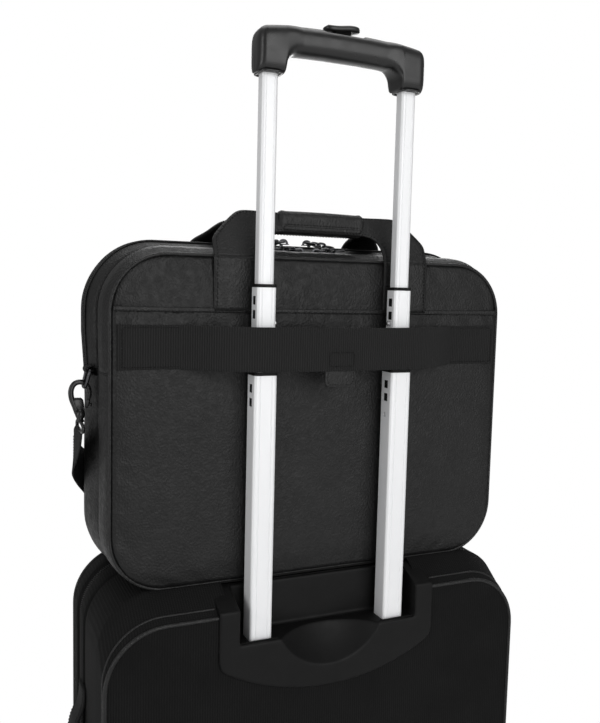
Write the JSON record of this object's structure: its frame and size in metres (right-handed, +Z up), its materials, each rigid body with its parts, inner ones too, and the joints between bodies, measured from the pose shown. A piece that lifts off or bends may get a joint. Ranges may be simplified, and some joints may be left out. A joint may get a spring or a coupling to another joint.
{
  "type": "rolling laptop case",
  "caption": "Leather laptop case carried on the telescopic handle of a soft wheeled case, with sliding stages, spinning wheels, zips, hooks and carry handles.",
  "frame": {"origin": "on the floor under the centre of the whole object's box", "axes": "+Z up, +X to the right seen from the handle side, -Y towards the person who pulls it"},
  "size_m": [0.476, 0.2234, 0.9495],
  "materials": {
    "black_leather": "pebble-grained black leather, soft satin",
    "black_nylon": "black twill nylon, matte",
    "black_webbing": "black ribbed webbing, matte",
    "black_piping": "black bound piping",
    "zip_tape": "black coil zip on tape",
    "zip_metal": "gunmetal, satin",
    "hook_metal": "black lacquered metal, semi-gloss",
    "aluminium_tube": "satin anodised, brushed lengthwise",
    "steel": "plain steel",
    "black_plastic": "moulded, fine matte texture",
    "grip_plastic": "moulded, satin gloss",
    "wheel_tyre": "black polyurethane",
    "wheel_hub": "grey moulded plastic",
    "lining": "dark grey lining"
  },
  "bodies": {
    "rolling_case": {"case_gusset": "black_nylon", "case_back_panel": "black_nylon", "case_front_panel": "black_nylon", "front_pocket": "black_nylon", "case_piping": "black_piping", "case_zip_tape": "zip_tape", "lining_board": "lining", "handle_bezel": "black_plastic", "outer_tubes": "aluminium_tube", "tube_foot_bracket": "steel", "base_tray": "black_plastic", "wheel_housings": "black_plastic", "wheel_axles": "steel", "front_feet": "black_plastic", "housing_screws": "steel", "side_grab_handle": "black_webbing"},
    "case_zip_upper": {"case_zip_slider_upper": "zip_metal"},
    "case_zip_lower": {"case_zip_slider_lower": "zip_metal"},
    "wheel_left": {"wheel_left_tyre": "wheel_tyre", "wheel_left_hub": "wheel_hub"},
    "wheel_right": {"wheel_right_tyre": "wheel_tyre", "wheel_right_hub": "wheel_hub"},
    "stage_a": {"stage_a_tubes": "aluminium_tube", "stage_a_bushings": "black_plastic"},
    "stage_b": {"stage_b_tubes": "aluminium_tube", "stage_b_bushings": "black_plastic"},
    "stage_c": {"stage_c_tubes": "aluminium_tube", "stage_c_plugs": "black_plastic", "latch_pins": "steel", "grip": "grip_plastic", "button_spring": "steel"},
    "release": {"release_button": "grip_plastic", "release_rods": "steel"},
    "laptop_case": {"bag_back_panel": "black_leather", "slip_pocket": "black_leather", "handle_sleeve": "black_webbing", "pull_tab": "black_leather", "bag_rear_gusset": "black_leather", "bag_divider": "lining", "bag_main_gusset": "black_leather", "bag_front_panel": "black_leather", "bag_piping": "black_piping", "bag_zip_tapes": "zip_tape", "handle_legs": "black_leather", "strap_lugs": "black_webbing", "d_rings": "zip_metal", "snap_hooks": "hook_metal", "shoulder_strap": "black_webbing", "shoulder_pad": "black_leather"},
    "rear_carry_handle": {"rear_handle": "black_leather", "handle_wrap": "black_leather"},
    "front_carry_handle": {"front_handle": "black_leather"},
    "gate_left": {"hook_gate_left": "hook_metal"},
    "gate_right": {"hook_gate_right": "hook_metal"},
    "rear_slider_left": {"rear_zip_slider_left": "zip_metal"},
    "rear_pull_left": {"rear_zip_pull_left": "zip_metal"},
    "rear_slider_right": {"rear_zip_slider_right": "zip_metal"},
    "rear_pull_right": {"rear_zip_pull_right": "zip_metal"},
    "main_slider_left": {"main_zip_slider_left": "zip_metal"},
    "main_slider_right": {"main_zip_slider_right": "zip_metal"}
  },
  "joints": [
    {"name": "wheel_left_spin", "type": "hinge", "parent": "rolling_case", "child": "wheel_left", "pos_m": [-0.186, -0.082, 0.032], "axis": [1, 0, 0], "continuous": true},
    {"name": "wheel_right_spin", "type": "hinge", "parent": "rolling_case", "child": "wheel_right", "pos_m": [0.186, -0.082, 0.032], "axis": [1, 0, 0], "continuous": true},
    {"name": "stage_a_slide", "type": "slide", "parent": "rolling_case", "child": "stage_a", "axis": [0, 0, 1], "range_m": [-0.251, 0]},
    {"name": "stage_b_slide", "type": "slide", "parent": "stage_a", "child": "stage_b", "axis": [0, 0, 1], "range_m": [-0.0775, 0.1]},
    {"name": "stage_c_slide", "type": "slide", "parent": "stage_b", "child": "stage_c", "axis": [0, 0, 1], "range_m": [-0.1875, 0], "deforming": ["latch_pins"]},
    {"name": "release_press", "type": "slide", "parent": "stage_c", "child": "release", "axis": [0, 0, -1], "range_m": [0, 0.003], "stiffness_N_per_m": 1500, "springref_m": -0.002, "deforming": ["button_spring"]},
    {"name": "laptop_case_lift", "type": "slide", "parent": "rolling_case", "child": "laptop_case", "axis": [0, 0, 1], "range_m": [0, 0.34]},
    {"name": "rear_handle_swing", "type": "hinge", "parent": "laptop_case", "child": "rear_carry_handle", "pos_m": [0, -0.07, 0.7314], "axis": [1, 0, 0], "range_deg": [0, 24]},
    {"name": "front_handle_swing", "type": "hinge", "parent": "laptop_case", "child": "front_carry_handle", "pos_m": [0, 0.04, 0.7354], "axis": [1, 0, 0], "range_deg": [-150, 0]},
    {"name": "gate_left_swing", "type": "hinge", "parent": "laptop_case", "child": "gate_left", "pos_m": [-0.2195, -0.008, 0.5864], "axis": [0, 1, 0], "range_deg": [-20, 0], "stiffness_Nm_per_rad": 0.02, "springref_deg": 5.73},
    {"name": "gate_right_swing", "type": "hinge", "parent": "laptop_case", "child": "gate_right", "pos_m": [0.2195, -0.008, 0.5864], "axis": [0, 1, 0], "range_deg": [0, 20], "stiffness_Nm_per_rad": 0.02, "springref_deg": -5.73},
    {"name": "rear_zip_left_slide", "type": "slide", "parent": "laptop_case", "child": "rear_slider_left", "axis": [-1, 0, 0], "range_m": [0, 0.13]},
    {"name": "rear_zip_right_slide", "type": "slide", "parent": "laptop_case", "child": "rear_slider_right", "axis": [1, 0, 0], "range_m": [0, 0.13]},
    {"name": "rear_pull_left_swing", "type": "hinge", "parent": "rear_slider_left", "child": "rear_pull_left", "pos_m": [-0.01, -0.026, 0.737], "axis": [0, 1, 0], "range_deg": [0, 40]},
    {"name": "rear_pull_right_swing", "type": "hinge", "parent": "rear_slider_right", "child": "rear_pull_right", "pos_m": [0.01, -0.026, 0.737], "axis": [0, -1, 0], "range_deg": [0, 40]},
    {"name": "main_zip_left_slide", "type": "slide", "parent": "laptop_case", "child": "main_slider_left", "axis": [-1, 0, 0], "range_m": [0, 0.12]},
    {"name": "main_zip_right_slide", "type": "slide", "parent": "laptop_case", "child": "main_slider_right", "axis": [1, 0, 0], "range_m": [0, 0.12]},
    {"name": "case_zip_upper_slide", "type": "slide", "parent": "rolling_case", "child": "case_zip_upper", "axis": [0, 0, 1], "range_m": [0, 0.05]},
    {"name": "case_zip_lower_slide", "type": "slide", "parent": "rolling_case", "child": "case_zip_lower", "axis": [0, 0, -1], "range_m": [0, 0.13]}
  ]
}
